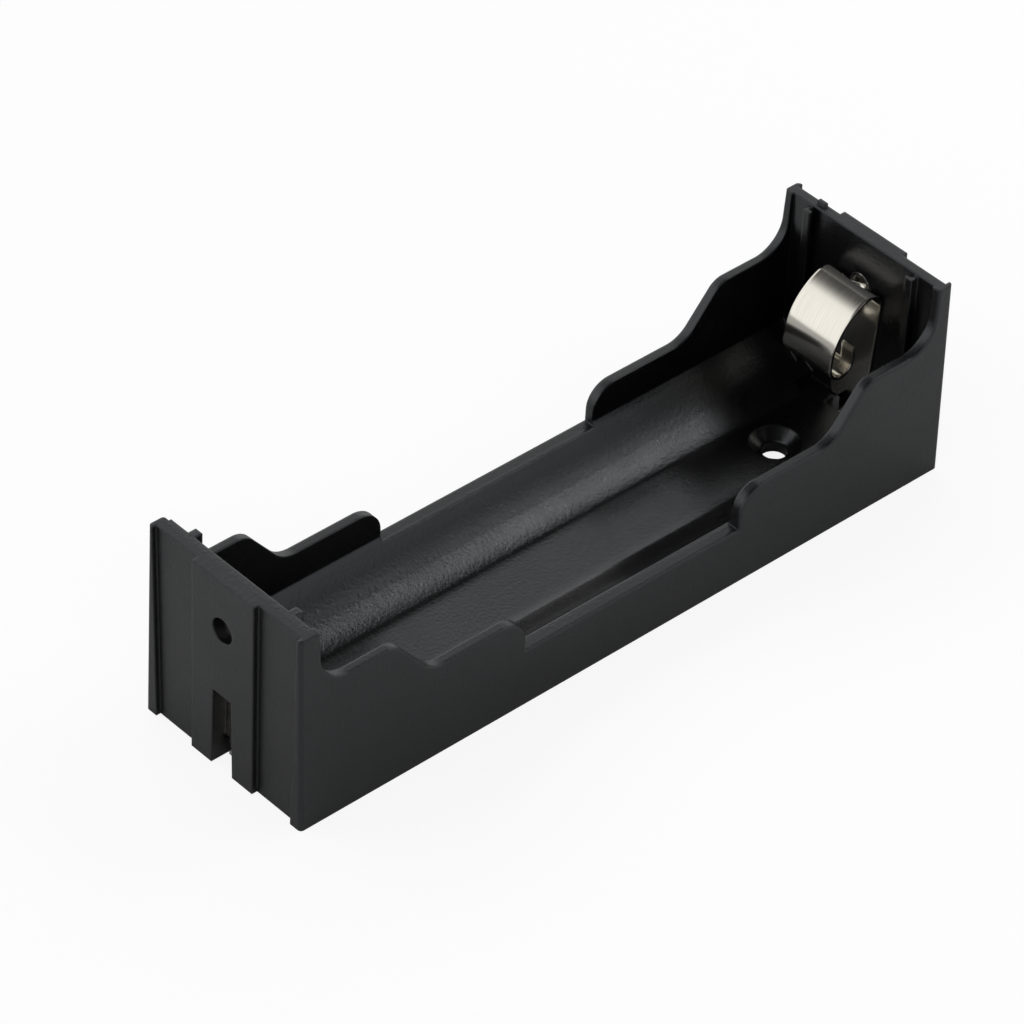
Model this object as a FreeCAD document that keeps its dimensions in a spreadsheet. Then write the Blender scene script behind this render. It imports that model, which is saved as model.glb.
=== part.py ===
import FreeCAD, Part
import math
import os
import re
import Sketcher

# Holder for one 18650 cell: a moulded tray and two folded spring contacts.
# +X is the end whose contact the photograph shows, +Z is up, and the origin is
# the middle of the base. All lengths are millimetres, all angles are degrees.

document = FreeCAD.newDocument("CellHolder")
sizes = document.addObject("Spreadsheet::Sheet", "Sizes")

# Driving dimensions: the name, its value and what it sets
DIMENSIONS = [
    # Outer form of the tray
    ("length", 78.0, "over the corner posts"),
    ("base_width", 21.0, "across the long walls at the base"),
    ("top_width", 20.2, "across the long walls at the top, less for mould draft"),
    ("height", 21.3, "from the base to the top of the end walls"),
    ("corner_round", 0.4, "upright outer corners"),
    ("rim_round", 0.3, "outer edges of the long walls' stepped rim"),
    # Room for the cell
    ("cell_width", 18.4, "between the long walls"),
    ("cradle_round", 11.1, "radius of the hollow that the cell lies in"),
    ("cradle_axis", 12.8, "height of that radius's centre"),
    ("floor_top", 2.2, "flat strip along the middle of the floor"),
    # Stepped rim of the long walls, measured from the end of the tray inwards
    ("low_rim", 6.1, "height of the wall along the middle"),
    ("middle_rim", 10.05, "height of the middle step"),
    ("upper_rim", 15.05, "height of the step beside the end wall"),
    ("post_top", 1.7, "depth of a corner post at its top"),
    ("post_lean", 0.2, "how much deeper it is at its foot"),
    ("post_valley", 3.3, "round between post and upper step"),
    ("near_post_extra", 0.5, "how much deeper the -X post of the -Y wall is"),
    ("upper_end", 9.35, "where the upper step starts to fall"),
    ("fall_crest", 2.2, "round at the top of the fall"),
    ("fall_angle", 50.0, "steepness of the fall"),
    ("fall_valley", 3.2, "round at the foot of the fall"),
    ("middle_end", 26.05, "where the middle step drops to the low rim"),
    ("middle_crest", 2.6, "round at that drop"),
    # End walls
    ("end_wall", 1.5, "from the posts' faces to the wall's inner face"),
    ("panel_recess", 0.5, "how far the panels lie behind the posts"),
    ("pad_width", 8.2, "upright pad in the middle of an end wall"),
    ("pad_proud", 0.1, "how far the pad stands out past the posts"),
    ("post_foot", 1.45, "width of a corner post at the base"),
    ("post_head", 0.5, "width of a corner post at the top"),
    ("lip_depth", 0.5, "how much thicker the -X end wall is along its top"),
    ("lip_height", 3.0, "height of that thicker band"),
    # Hooked guide rails on the inner faces of the end walls
    ("rail_outer", 7.1, "outer side of a rail, from the centre line"),
    ("rail_inner", 6.2, "tip of its lip, from the centre line"),
    ("rail_web", 0.4, "thickness of the rail's web"),
    ("rail_lip", 0.4, "thickness of its lip"),
    ("rail_reach", 0.85, "how far the rail stands out from the wall"),
    ("rail_drop", 0.25, "how far its top lies below the wall's top"),
    # Openings for the contacts
    ("latch_height", 16.0, "axis of the round latch hole"),
    ("latch_bore", 2.6, "its diameter"),
    ("notch_height", 8.6, "top of the open notch below it"),
    ("notch_head", 2.4, "width of the notch at its top"),
    ("notch_foot", 2.8, "width of the notch at the base"),
    ("notch_reach", 3.3, "how far it runs in from the posts' faces"),
    ("well_length", 2.6, "level floor beside the end wall, clear of the cradle"),
    ("well_width", 9.8, "width of that level floor"),
    # Screw holes
    ("screw_spacing", 55.8, "between the two holes"),
    ("screw_bore", 2.6, "clearance hole for an M2.5 screw"),
    ("screw_head", 5.0, "countersink at the floor"),
    ("screw_cone", 100.0, "included angle of the countersink"),
    # Cored-out underside
    ("skirt", 1.3, "thickness of the long walls below the cradle"),
    ("skin", 1.3, "thickness of the cradle"),
    ("rib", 1.0, "thickness of the ribs under the cradle"),
    ("bays", 6, "hollows between the ribs along each side"),
    ("spine_width", 7.6, "solid strip under the middle of the floor"),
    ("spine_core", 1.0, "depth of the hollows in that strip"),
    ("spine_wall", 1.4, "wall left on each side of those hollows"),
    # Contact strip
    ("strip_width", 6.3, "spring leaf"),
    ("gauge", 0.3, "thickness of the strip"),
    ("tail_width", 1.8, "solder tail in the notch"),
    ("tail_foot", 0.3, "end of the tail above the base"),
    ("plate_foot", 0.1, "gap between the back plate and the floor"),
    ("plate_taper", 4.4, "width of the back plate at its foot"),
    ("top_bend", 1.6, "centre-line radius of the bend over the plate"),
    ("top_drop", 0.6, "how far the bend's centre lies below the latch axis"),
    ("top_sweep", 112.8, "angle that the bend turns through"),
    ("leaf_round", 6.3, "centre-line radius of the bulging front"),
    ("leaf_straight", 0.3, "upright stretch between the front and the curl"),
    ("curl_round", 1.45, "centre-line radius of the curl"),
    ("curl_end", 1.3, "upright end inside the loop"),
    ("end_slot", 3.2, "width of the slot that splits that end"),
    ("end_slot_depth", 1.75, "how far the slot runs down from the end"),
    # Lanced tongue that latches in the end wall
    ("tongue_width", 2.35, "tongue and its round head"),
    ("tongue_slot", 0.25, "gap cut along each side of the tongue"),
    ("tongue_root", 0.5, "how far below the bend the cut starts"),
    ("tongue_front", 0.8, "how far the cut runs into the bend, past the plate"),
    ("jog_low", 0.5, "start of the step that offsets the head, below the latch axis"),
    ("jog_high", 0.1, "end of that step, below the latch axis"),
    ("jog_out", 0.35, "how far it sets the head into the latch hole"),
    ("dimple_width", 2.0, "round dimple in the head"),
    ("dimple_depth", 0.25, "how far the dimple is pressed out"),
    # Moulding nub
    ("nub_length", 1.0, "small nub on the far end wall's top, along the wall"),
    ("nub_depth", 0.45, "its thickness"),
    ("nub_height", 0.3, "its height above the wall"),
]
for row, (name, value, purpose) in enumerate(DIMENSIONS, start=1):
    sizes.set(f"A{row}", str(value))
    sizes.set(f"B{row}", name)
    sizes.set(f"C{row}", purpose)
    sizes.setAlias(f"A{row}", name)
document.recompute()


def size(formula):
    """The formula with each driving dimension spelled as its sheet cell."""
    names = {name for name, value, purpose in DIMENSIONS}
    return re.sub(r"[a-z_]+", lambda word: "Sizes." + word[0] if word[0] in names else word[0], formula)


def number(formula):
    """What the formula comes to at the present sizes."""
    result = sizes.evalExpression(size(formula))
    return float(getattr(result, "Value", result))


def bind(feature, target, formula):
    feature.setExpression(target, size(formula))


def plane(body, role):
    """One of the body's own origin planes."""
    return next(item for item in body.Origin.OriginFeatures if item.Role == role)


def new_sketch(body, name, role, offset="0"):
    """An empty sketch on an origin plane, moved along its normal by the offset."""
    sketch = body.newObject("Sketcher::SketchObject", name)
    sketch.AttachmentSupport = [(plane(body, role), "")]
    sketch.MapMode = "FlatFace"
    if offset != "0":
        bind(sketch, "AttachmentOffset.Base.z", offset)
    document.recompute()
    return sketch


def pin_down(sketch, edge, end, corner):
    """Hold one end of an edge at a corner given by two formulas."""
    for kind, axis, formula in (("DistanceX", -2, corner[0]), ("DistanceY", -1, corner[1])):
        value = number(formula)
        if abs(value) < 1e-9:
            sketch.addConstraint(Sketcher.Constraint("PointOnObject", edge, end, axis))
            continue
        index = sketch.addConstraint(Sketcher.Constraint(kind, -1, 1, edge, end, value))
        label = f"{kind}_{edge}_{end}"
        sketch.renameConstraint(index, label)
        bind(sketch, f"Constraints.{label}", formula)


def arc_through(start, finish, radius):
    """Arc from start to finish: a positive radius turns anticlockwise."""
    middle = (start + finish) * 0.5
    chord = finish - start
    rise = math.sqrt(max(radius * radius - chord.Length ** 2 / 4, 0))
    left = FreeCAD.Vector(-chord.y, chord.x, 0).normalize()
    centre = middle + left * rise * (1 if radius > 0 else -1)
    first, last = (start, finish) if radius > 0 else (finish, start)
    angles = [math.atan2(point.y - centre.y, point.x - centre.x) for point in (first, last)]
    circle = Part.Circle(centre, FreeCAD.Vector(0, 0, 1), abs(radius))
    return Part.ArcOfCircle(circle, angles[0], angles[1])


def outline(sketch, corners, closed=True):
    """Draw a run of lines and arcs.

    Each corner is (across, up) or (across, up, radius): with a radius, the edge
    that leaves the corner is an arc, anticlockwise if the formula is positive.
    """
    base = sketch.GeometryCount
    points = [FreeCAD.Vector(number(corner[0]), number(corner[1]), 0) for corner in corners]
    count = len(corners) if closed else len(corners) - 1
    ends = []
    for step in range(count):
        start = points[step]
        finish = points[(step + 1) % len(points)]
        if len(corners[step]) == 2:
            sketch.addGeometry(Part.LineSegment(start, finish), False)
            ends.append((1, 2))
        else:
            radius = number(corners[step][2])
            sketch.addGeometry(arc_through(start, finish, radius), False)
            ends.append((1, 2) if radius > 0 else (2, 1))
    for step in range(count):
        edge = base + step
        pin_down(sketch, edge, ends[step][0], corners[step])
        if step + 1 < count or closed:
            following = base + (step + 1) % count
            finish_here = ends[step][1]
            start_there = ends[(step + 1) % count][0]
            joint = Sketcher.Constraint("Coincident", edge, finish_here, following, start_there)
            sketch.addConstraint(joint)
        if len(corners[step]) == 3:
            formula = corners[step][2].lstrip("-")
            index = sketch.addConstraint(Sketcher.Constraint("Radius", edge, number(formula)))
            sketch.renameConstraint(index, f"Radius_{edge}")
            bind(sketch, f"Constraints.Radius_{edge}", formula)
    if not closed:
        pin_down(sketch, base + count - 1, ends[-1][1], corners[-1])
    document.recompute()
    return sketch


def circle(sketch, across, up, diameter):
    """Draw a full circle."""
    centre = FreeCAD.Vector(number(across), number(up), 0)
    edge = sketch.GeometryCount
    sketch.addGeometry(Part.Circle(centre, FreeCAD.Vector(0, 0, 1), number(diameter) / 2), False)
    pin_down(sketch, edge, 3, (across, up))
    index = sketch.addConstraint(Sketcher.Constraint("Diameter", edge, number(diameter)))
    sketch.renameConstraint(index, f"Diameter_{edge}")
    bind(sketch, f"Constraints.Diameter_{edge}", diameter)
    document.recompute()
    return sketch


def extrude(body, kind, name, sketch, length=None, both_ways=False, backwards=False):
    """A pad or a pocket of the sketch: with no length, a pocket goes right through."""
    feature = body.newObject("PartDesign::" + kind, name)
    feature.Profile = sketch
    if both_ways:
        feature.SideType = "Symmetric"
    feature.Reversed = backwards
    if length is None:
        feature.Type = "ThroughAll"
    else:
        bind(feature, "Length", length)
    sketch.Visibility = False
    document.recompute()
    return feature


def mirror(body, name, features):
    """The same features at the other end of the piece."""
    feature = body.newObject("PartDesign::Mirrored", name)
    feature.Originals = features
    feature.MirrorPlane = (plane(body, "YZ_Plane"), [""])
    body.Tip = feature
    document.recompute()
    return feature


def other_side(corners):
    """The corners mirrored to the far side of the centre line, in walking order."""
    flipped = []
    for step in range(len(corners) - 1, -1, -1):
        across, up = corners[step][:2]
        mirrored = (f"-( {across} )", up)
        if step > 0 and len(corners[step - 1]) == 3:
            mirrored += (corners[step - 1][2],)
        flipped.append(mirrored)
    return flipped


def rectangle(left, right, low, high):
    return [(left, low), (right, low), (right, high), (left, high)]


# Formulas that several features share
HALF = "length / 2"
INNER_END = "( length / 2 - end_wall )"
WALL_SLOPE = "( base_width - top_width ) / 2 / height"
FLOOR_EDGE = "sqrt( cradle_round ^ 2 - ( cradle_axis - floor_top ) ^ 2 )"
CRADLE_EDGE = "( cradle_axis - sqrt( cradle_round ^ 2 - ( cell_width / 2 ) ^ 2 ) )"


# The tray

def add_block(body):
    """The drafted block that the tray is hollowed from, with its four upright corners."""
    section = outline(new_sketch(body, "BlockSection", "YZ_Plane"), [
        ("-( base_width / 2 )", "0"),
        ("base_width / 2", "0"),
        ("top_width / 2", "height"),
        ("-( top_width / 2 )", "height"),
    ])
    extrude(body, "Pad", "Block", section, "length", both_ways=True)
    block = body.Tip
    half = number(HALF)
    corners = [
        f"Edge{place}"
        for place, edge in enumerate(block.Shape.Edges, start=1)
        if abs(edge.Vertexes[0].X - edge.Vertexes[1].X) < 1e-6
        and abs(edge.Vertexes[0].Z - edge.Vertexes[1].Z) > 1
        and abs(abs(edge.Vertexes[0].X) - half) < 1e-6
    ]
    rounds = body.newObject("PartDesign::Fillet", "CornerRounds")
    rounds.Base = (block, corners)
    bind(rounds, "Radius", "corner_round")
    document.recompute()


def cut_cell_room(body):
    """The hollow for the cell: flat strip, cradle and upright walls, open at the top."""
    section = outline(new_sketch(body, "CellSection", "YZ_Plane"), [
        ("-( " + FLOOR_EDGE + " )", "floor_top"),
        (FLOOR_EDGE, "floor_top", "cradle_round"),
        ("cell_width / 2", CRADLE_EDGE),
        ("cell_width / 2", "height + 1"),
        ("-( cell_width / 2 )", "height + 1"),
        ("-( cell_width / 2 )", CRADLE_EDGE, "cradle_round"),
    ])
    extrude(body, "Pocket", "CellRoom", section, "2 * " + INNER_END, both_ways=True)


def rim_corners(extra="0"):
    """The stepped rim on the +X half, from the middle of the tray out to the post.

    The extra length makes the post deeper and moves the upper step inwards.
    """
    foot = "upper_rim + post_valley"
    fall_run = "( fall_crest + fall_valley ) * sin( fall_angle )"
    fall_round_drop = "( fall_crest + fall_valley ) * ( 1 - cos( fall_angle ) )"
    slope = f"( ( upper_rim - middle_rim - {fall_round_drop} ) / sin( fall_angle ) )"
    upper_stop = f"( upper_end + {extra} )"
    fall_end = f"( {upper_stop} + {fall_run} + {slope} * cos( fall_angle ) )"
    valley_start = f"( {fall_end} - fall_valley * sin( fall_angle ) )"
    valley_height = "( middle_rim + fall_valley * ( 1 - cos( fall_angle ) ) )"
    crest_end = f"( {upper_stop} + fall_crest * sin( fall_angle ) )"
    post = f"post_top - {extra}"
    crest_height = "( upper_rim - fall_crest * ( 1 - cos( fall_angle ) ) )"
    return [
        (f"{HALF} - middle_end", "low_rim"),
        (f"{HALF} - middle_end", "middle_rim - middle_crest", "-middle_crest"),
        (f"{HALF} - middle_end + middle_crest", "middle_rim"),
        (f"{HALF} - {fall_end}", "middle_rim", "fall_valley"),
        (f"{HALF} - {valley_start}", valley_height),
        (f"{HALF} - {crest_end}", crest_height, "-fall_crest"),
        (f"{HALF} - {upper_stop}", "upper_rim"),
        (f"{HALF} - {post} - post_lean - post_valley", "upper_rim", "post_valley"),
        (f"{HALF} - {post} - post_lean", foot),
        (f"{HALF} - {post}", "height + 1"),
    ]


def cut_rim(body):
    """Step both long walls down from the posts to the low middle."""
    right = rim_corners()
    for name, left, backwards in (("Far", right, False), ("Near", rim_corners("near_post_extra"), True)):
        sketch = new_sketch(body, name + "RimOutline", "XZ_Plane")
        outline(sketch, right + other_side(left))
        extrude(body, "Pocket", name + "Rim", sketch, backwards=backwards)


def round_rim(body):
    """Round the outer edges of the long walls' stepped rims."""
    tray = body.Tip
    low = number("low_rim")
    top = number("height")
    reach = number(HALF)
    wall = number("cell_width / 2")
    chosen = []
    for place, edge in enumerate(tray.Shape.Edges, start=1):
        box = edge.BoundBox
        on_rim = box.ZMin > low - 0.02 and box.ZMax < top + 0.05
        off_ends = box.XMin > 0.6 - reach and box.XMax < reach - 0.6
        outside = abs(box.YMin + box.YMax) / 2 > wall + 0.3
        if on_rim and off_ends and outside and max(box.XLength, box.ZLength) > 0.3 and box.YLength < 0.4:
            chosen.append(f"Edge{place}")
    rounds = body.newObject("PartDesign::Fillet", "RimRounds")
    rounds.Base = (tray, chosen)
    bind(rounds, "Radius", "rim_round")
    document.recompute()


def cut_end_panels(body):
    """Sink a panel between each corner post and the middle of the end wall."""
    sketch = new_sketch(body, "PanelOutline", "YZ_Plane", HALF)
    panel = [
        ("pad_width / 2", "-1"),
        (f"base_width / 2 - post_foot + ( {WALL_SLOPE} )", "-1"),
        ("top_width / 2 - post_head", "height"),
        ("top_width / 2 - post_head", "height + 1"),
        ("pad_width / 2", "height + 1"),
    ]
    outline(sketch, panel)
    outline(sketch, other_side(panel))
    panels = extrude(body, "Pocket", "Panels", sketch, "panel_recess")
    mirror(body, "PanelsBothEnds", [panels])


def add_end_pads(body):
    """The upright pad in the middle of each end wall, a little prouder than the posts."""
    pad_corners = rectangle("-( pad_width / 2 )", "pad_width / 2", "0", "height")
    sketch = outline(new_sketch(body, "PadOutline", "YZ_Plane", HALF), pad_corners)
    pad = extrude(body, "Pad", "EndPad", sketch, "pad_proud")
    mirror(body, "EndPads", [pad])


def add_rails(body):
    """A hooked guide rail on each side of each end wall's inner face."""
    rail_foot = "floor_top + 0.8"
    sketch = new_sketch(body, "RailOutline", "XY_Plane", rail_foot)
    tip = f"{INNER_END} - rail_reach"
    rail = [
        (f"{INNER_END} + 0.1", "rail_outer"),
        (tip, "rail_outer"),
        (tip, "rail_inner"),
        (f"{tip} + rail_lip", "rail_inner"),
        (f"{tip} + rail_lip", "rail_outer - rail_web"),
        (f"{INNER_END} + 0.1", "rail_outer - rail_web"),
    ]
    outline(sketch, rail)
    outline(sketch, [(across, f"-( {along} )") for across, along in rail])
    rails = extrude(body, "Pad", "RailPair", sketch, f"height - rail_drop - ( {rail_foot} )")
    mirror(body, "Rails", [rails])


def add_top_lip(body):
    """The thicker band along the top of the -X end wall, with the two rail heads in it."""
    wall = f"-( {INNER_END} )"
    face = f"-( {INNER_END} - lip_depth )"
    head = f"-( {INNER_END} - lip_depth - rail_reach )"
    right = [
        (wall, "cell_width / 2 + 0.2"),
        (face, "cell_width / 2 + 0.2"),
        (face, "rail_outer"),
        (head, "rail_outer"),
        (head, "rail_inner"),
        (face, "rail_inner"),
    ]
    left = [(across, f"-( {up} )") for across, up in reversed(right)]
    sketch = new_sketch(body, "TopLipOutline", "XY_Plane", "height - lip_height")
    outline(sketch, right + left)
    extrude(body, "Pad", "TopLip", sketch, "lip_height")


def cut_contact_openings(body):
    """Latch holes, notches for the solder tails, and the level floor beside each wall."""
    latch = circle(new_sketch(body, "LatchOutline", "YZ_Plane"), "0", "latch_height", "latch_bore")
    extrude(body, "Pocket", "LatchHoles", latch, both_ways=True)

    beyond = f"{HALF} + pad_proud + 1"
    draft = "( notch_foot - notch_head ) / 2 / notch_height"
    notch = outline(new_sketch(body, "NotchOutline", "YZ_Plane", beyond), [
        (f"-( notch_foot / 2 + {draft} )", "-1"),
        (f"notch_foot / 2 + {draft}", "-1"),
        ("notch_head / 2", "notch_height"),
        ("-( notch_head / 2 )", "notch_height"),
    ])
    notch_cut = extrude(body, "Pocket", "Notch", notch, "notch_reach + pad_proud + 1")
    mirror(body, "Notches", [notch_cut])

    well_corners = rectangle("-( well_width / 2 )", "well_width / 2", "floor_top", "cradle_axis")
    well = outline(new_sketch(body, "WellOutline", "YZ_Plane", INNER_END), well_corners)
    well_cut = extrude(body, "Pocket", "Well", well, "well_length")
    mirror(body, "Wells", [well_cut])


def cut_screw_holes(body):
    """Countersunk holes through the floor, turned about their own axes."""
    centre = "screw_spacing / 2"
    cone_depth = "( screw_head - screw_bore ) / 2 / tan( screw_cone / 2 )"
    sketch = outline(new_sketch(body, "ScrewOutline", "XZ_Plane"), [
        (centre, "-1"),
        (f"{centre} + screw_bore / 2", "-1"),
        (f"{centre} + screw_bore / 2", f"floor_top - {cone_depth}"),
        (f"{centre} + screw_head / 2", "floor_top"),
        (f"{centre} + screw_head / 2", "cradle_axis"),
        (centre, "cradle_axis"),
    ])
    hole = body.newObject("PartDesign::Groove", "ScrewHole")
    hole.Profile = sketch
    hole.ReferenceAxis = (sketch, ["Edge6"])
    hole.Angle = 360
    document.recompute()
    mirror(body, "ScrewHoles", [hole])


def bay_row(body, name, sketch, first_bay, bay_count):
    """Cut the sketched hollow once and repeat it from bay to bay along the tray."""
    pocket = extrude(body, "Pocket", name + "Bay", sketch, "( 2 * " + INNER_END + " + rib ) / bays - rib",
                     backwards=True)
    row = body.newObject("PartDesign::LinearPattern", name)
    row.Originals = [pocket]
    row.Direction = (plane(body, "YZ_Plane"), [""])
    row.Mode = "Extent"
    bind(row, "Length", f"( 2 * {INNER_END} + rib ) / bays * ( {bay_count} - 1 )")
    bind(row, "Occurrences", bay_count)
    body.Tip = row
    document.recompute()
    return row


def core_underside(body):
    """Hollows under the cradle and in the spine, with ribs between them."""
    start = f"-( {INNER_END} )"
    pitch = "( 2 * " + INNER_END + " + rib ) / bays"
    skirt_inside = f"( base_width / 2 - skirt - {WALL_SLOPE} * floor_top )"
    outer_round = "( cradle_round + skin )"
    roof_inner = f"cradle_axis - sqrt( {outer_round} ^ 2 - ( spine_width / 2 ) ^ 2 )"
    roof_outer = f"cradle_axis - sqrt( {outer_round} ^ 2 - {skirt_inside} ^ 2 )"
    hollow = [
        ("spine_width / 2", "-1"),
        (skirt_inside, "-1"),
        (skirt_inside, roof_outer, f"-{outer_round}"),
        ("spine_width / 2", roof_inner),
    ]
    sketch = new_sketch(body, "CradleCore", "YZ_Plane", start)
    outline(sketch, hollow)
    outline(sketch, other_side(hollow))
    bay_row(body, "CradleCores", sketch, start, "bays")

    half_core = "spine_width / 2 - spine_wall"
    core_corners = rectangle(f"-( {half_core} )", half_core, "-1", "spine_core")
    spine = outline(new_sketch(body, "SpineCore", "YZ_Plane", f"{start} + {pitch}"), core_corners)
    bay_row(body, "SpineCores", spine, f"{start} + {pitch}", "( bays - 2 )")


def add_nub(body):
    """The small nub that the mould leaves on the far end wall's top, beside a rail."""
    outside = f"{HALF} - panel_recess"
    sketch = outline(new_sketch(body, "NubOutline", "XY_Plane", "height - 0.2"), [
        (f"{outside} - nub_depth", "rail_outer - 0.4 - nub_length"),
        (outside, "rail_outer - 0.4 - nub_length"),
        (outside, "rail_outer - 0.4"),
        (f"{outside} - nub_depth", "rail_outer - 0.4"),
    ])
    extrude(body, "Pad", "Nub", sketch, "nub_height + 0.2")


def make_housing():
    """The moulded tray, one piece."""
    body = document.addObject("PartDesign::Body", "Housing")
    body.Label = "housing"
    add_block(body)
    cut_cell_room(body)
    cut_rim(body)
    round_rim(body)
    cut_end_panels(body)
    add_end_pads(body)
    add_rails(body)
    add_top_lip(body)
    cut_contact_openings(body)
    cut_screw_holes(body)
    core_underside(body)
    add_nub(body)
    return body


# The contacts

PLATE = f"( {INNER_END} - gauge / 2 )"
BEND_HEIGHT = "( latch_height - top_drop )"
PLATE_FOOT = "( floor_top + plate_foot )"


def add_strip(body):
    """Carry the strip's section up the wall, over the bend, down the front and round the curl."""
    bend_axis = f"( {PLATE} - top_bend )"
    leaf_axis = f"( {bend_axis} - ( leaf_round - top_bend ) * cos( top_sweep ) )"
    leaf_height = f"( {BEND_HEIGHT} - ( leaf_round - top_bend ) * sin( top_sweep ) )"
    front = f"( {leaf_axis} - leaf_round )"
    curl_height = f"( {leaf_height} - leaf_straight )"
    path = outline(new_sketch(body, "StripPath", "XZ_Plane"), [
        (PLATE, "tail_foot"),
        (PLATE, BEND_HEIGHT, "top_bend"),
        (f"{bend_axis} + top_bend * cos( top_sweep )",
         f"{BEND_HEIGHT} + top_bend * sin( top_sweep )", "leaf_round"),
        (front, leaf_height),
        (front, curl_height, "curl_round"),
        (f"{front} + curl_round", f"{curl_height} - curl_round", "curl_round"),
        (f"{front} + 2 * curl_round", curl_height),
        (f"{front} + 2 * curl_round", f"{curl_height} + curl_end"),
    ], closed=False)
    section_corners = rectangle(f"{PLATE} - gauge / 2", f"{PLATE} + gauge / 2",
                                "-( strip_width / 2 )", "strip_width / 2")
    section = outline(new_sketch(body, "StripSection", "XY_Plane", "tail_foot"), section_corners)
    strip = body.newObject("PartDesign::AdditivePipe", "Strip")
    strip.Profile = section
    strip.Spine = (path, [])
    body.Tip = strip
    document.recompute()


def shape_back_plate(body):
    """Trim the plate to its taper, and the end below it to the narrow solder tail."""
    sketch = new_sketch(body, "PlateTrim", "YZ_Plane", f"{INNER_END} + 1")
    trim = [
        ("tail_width / 2", "tail_foot - 1"),
        ("strip_width", "tail_foot - 1"),
        ("strip_width", BEND_HEIGHT),
        ("strip_width / 2", BEND_HEIGHT),
        ("plate_taper / 2", PLATE_FOOT),
        ("tail_width / 2", PLATE_FOOT),
    ]
    outline(sketch, trim)
    outline(sketch, other_side(trim))
    extrude(body, "Pocket", "PlateShape", sketch, "1 + gauge * 2")


def split_end(body):
    """The slot that splits the upright end inside the loop."""
    front = f"( {PLATE} - top_bend - ( leaf_round - top_bend ) * cos( top_sweep ) - leaf_round )"
    leaf_height = f"( {BEND_HEIGHT} - ( leaf_round - top_bend ) * sin( top_sweep ) )"
    end = f"( {leaf_height} - leaf_straight + curl_end )"
    sketch = new_sketch(body, "EndSlotOutline", "YZ_Plane", f"{front} + 2 * curl_round + gauge")
    corners = rectangle("-( end_slot / 2 )", "end_slot / 2", f"{end} - end_slot_depth", f"{end} + 1")
    outline(sketch, corners)
    extrude(body, "Pocket", "EndSlot", sketch, "2 * gauge")


def add_tongue(body):
    """Free the lanced tongue from the bend and set its dished round head in the latch hole."""
    slot_half = "( tongue_width / 2 + tongue_slot )"
    inner_face = f"( {INNER_END} - gauge )"
    slot_corners = rectangle(f"{inner_face} - tongue_front", f"{INNER_END} + 1",
                             f"-{slot_half}", slot_half)
    root = f"( {BEND_HEIGHT} - tongue_root )"
    slot = outline(new_sketch(body, "TongueSlot", "XY_Plane", root), slot_corners)
    extrude(body, "Pocket", "TongueCut", slot, "top_bend + tongue_root + 1", backwards=True)

    half = "tongue_width / 2"
    top = f"( latch_height + {half} )"
    side = outline(new_sketch(body, "TongueSide", "XZ_Plane"), [
        (inner_face, f"{root} - gauge"),
        (INNER_END, f"{root} - gauge"),
        (INNER_END, "latch_height - jog_low"),
        (f"{INNER_END} + jog_out", "latch_height - jog_high"),
        (f"{INNER_END} + jog_out", top),
        (f"{inner_face} + jog_out", top),
        (f"{inner_face} + jog_out", "latch_height - jog_high"),
        (inner_face, "latch_height - jog_low"),
    ])
    extrude(body, "Pad", "Tongue", side, "tongue_width", both_ways=True)

    trim = outline(new_sketch(body, "HeadOutline", "YZ_Plane", f"{INNER_END} + jog_out + 1"), [
        (half, "latch_height", half),
        ("0", top, half),
        (f"-( {half} )", "latch_height"),
        ("-tongue_width", "latch_height"),
        ("-tongue_width", f"{top} + 0.5"),
        ("tongue_width", f"{top} + 0.5"),
        ("tongue_width", "latch_height"),
    ])
    extrude(body, "Pocket", "HeadTrim", trim, "1 + gauge + 0.02")

    cap = "( ( ( dimple_width / 2 ) ^ 2 + dimple_depth ^ 2 ) / ( 2 * dimple_depth ) )"
    for kind, name, face in (("Revolution", "Dimple", f"( {INNER_END} + jog_out )"),
                             ("Groove", "DimpleHollow", f"( {inner_face} + jog_out )")):
        sketch = outline(new_sketch(body, name + "Outline", "XZ_Plane"), [
            (face, "latch_height"),
            (f"{face} + dimple_depth", "latch_height", cap),
            (face, "latch_height + dimple_width / 2"),
        ])
        dimple = body.newObject("PartDesign::" + kind, name)
        dimple.Profile = sketch
        dimple.ReferenceAxis = (sketch, ["Edge1"])
        dimple.Angle = 360
        document.recompute()


def make_contact(name, label, turn):
    """One folded spring contact, turned about the tray's upright axis to its own end."""
    body = document.addObject("PartDesign::Body", name)
    body.Label = label
    add_strip(body)
    shape_back_plate(body)
    split_end(body)
    add_tongue(body)
    body.Placement = FreeCAD.Placement(
        FreeCAD.Vector(0, 0, 0), FreeCAD.Rotation(FreeCAD.Vector(0, 0, 1), turn))
    document.recompute()
    return body


pieces = [
    make_housing(),
    make_contact("ContactFar", "contact_far", 0),
    make_contact("ContactNear", "contact_near", 180),
]

# Every feature must have come out sound before a file is written
for item in document.Objects:
    troubled = "Invalid" in item.State or "Error" in item.State
    shape = getattr(item, "Shape", None)
    solid_feature = item.TypeId.startswith("PartDesign::") and shape is not None
    if troubled or (solid_feature and (shape.isNull() or not shape.isValid())):
        raise RuntimeError(f"{item.Label} did not come out as a sound shape")

os.makedirs("parts", exist_ok=True)
for piece in pieces:
    if len(piece.Shape.Solids) != 1:
        raise RuntimeError(f"{piece.Label} is not one solid")
    piece.Shape.exportStep(f"parts/{piece.Label}.step")
    box = piece.Shape.BoundBox
    print(f"{piece.Label}: {piece.Shape.Volume:.1f} mm3, "
          f"x {box.XMin:.2f} to {box.XMax:.2f}, y {box.YMin:.2f} to {box.YMax:.2f}, "
          f"z {box.ZMin:.2f} to {box.ZMax:.2f}")
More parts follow.
